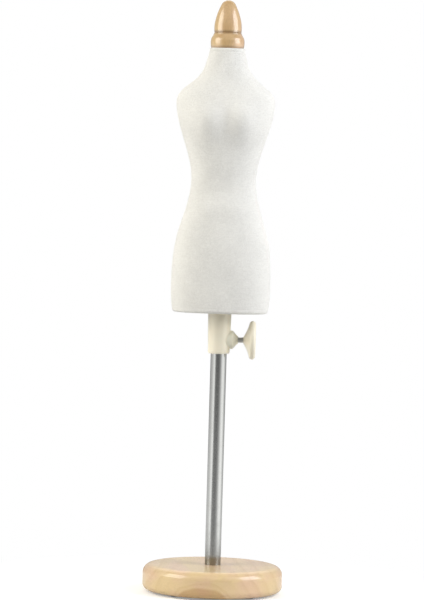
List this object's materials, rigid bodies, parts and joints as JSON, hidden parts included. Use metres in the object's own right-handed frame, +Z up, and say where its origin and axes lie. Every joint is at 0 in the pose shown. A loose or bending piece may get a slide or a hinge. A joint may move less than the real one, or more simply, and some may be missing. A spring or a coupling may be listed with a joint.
{
  "type": "dress form mannequin",
  "caption": "Tabletop dress form: armless knit-covered torso with a turned wooden finial, sliding and turning on a steel pole over a round wooden base, held by a clamp knob.",
  "frame": {"origin": "on the floor under the middle of the base, on the axis of the pole", "axes": "+Z up along the pole; the torso faces -Y at rest; the clamp knob points along +X"},
  "size_m": [0.14, 0.14, 0.592],
  "materials": {
    "wood_base": "satin",
    "wood_finial": "gloss",
    "wood_neck": "matte",
    "plywood": "matte",
    "knit": "matte",
    "hem_cloth": "matte",
    "foam": "matte",
    "ivory_plastic": "satin",
    "clear_nylon": "satin",
    "grey_conduit": "matte",
    "black_plastic": "matte",
    "polished_steel": "polished",
    "dark_steel": "satin",
    "zinc_steel": "satin",
    "brass": "satin",
    "foot_rubber": "matte"
  },
  "bodies": {
    "stand": {"base_disc": "wood_base", "base_feet": "foot_rubber", "base_bolt": "zinc_steel", "base_washer": "zinc_steel", "base_lock_washer": "zinc_steel", "pole_tube": "polished_steel", "pole_foot_insert": "zinc_steel", "pole_top_plug": "black_plastic"},
    "liner": {"pole_liner": "clear_nylon"},
    "torso": {"clamp_sleeve": "ivory_plastic", "sleeve_screws": "zinc_steel", "clamp_nut": "brass", "guide_tube": "grey_conduit", "hem_plate": "plywood", "torso_core": "foam", "neck_block": "wood_neck", "cover_front": "knit", "cover_back": "knit", "hem_cover": "hem_cloth", "hem_tacks": "zinc_steel", "finial_dowel": "zinc_steel", "finial_ring": "wood_finial", "finial_cap": "wood_finial"},
    "clamp_tip": {"clamp_pad": "clear_nylon"},
    "knob": {"clamp_screw": "dark_steel", "clamp_knob": "ivory_plastic"}
  },
  "joints": [
    {"name": "torso_height", "type": "slide", "parent": "stand", "child": "liner", "axis": [0, 0, 1], "range_m": [-0.09, 0.1]},
    {"name": "torso_swivel", "type": "hinge", "parent": "liner", "child": "torso", "pos_m": [0, 0, 0.2777], "axis": [0, 0, 1], "continuous": true},
    {"name": "clamp_travel", "type": "slide", "parent": "torso", "child": "clamp_tip", "axis": [1, 0, 0], "range_m": [0, 0.003]},
    {"name": "clamp_turn", "type": "hinge", "parent": "clamp_tip", "child": "knob", "pos_m": [0.0217, 0, 0.254], "axis": [1, 0, 0], "range_deg": [0, 1080]}
  ],
  "couplings": [
    {"joint": "clamp_turn", "follows": "clamp_travel", "rad_per_m": 6283.2}
  ]
}
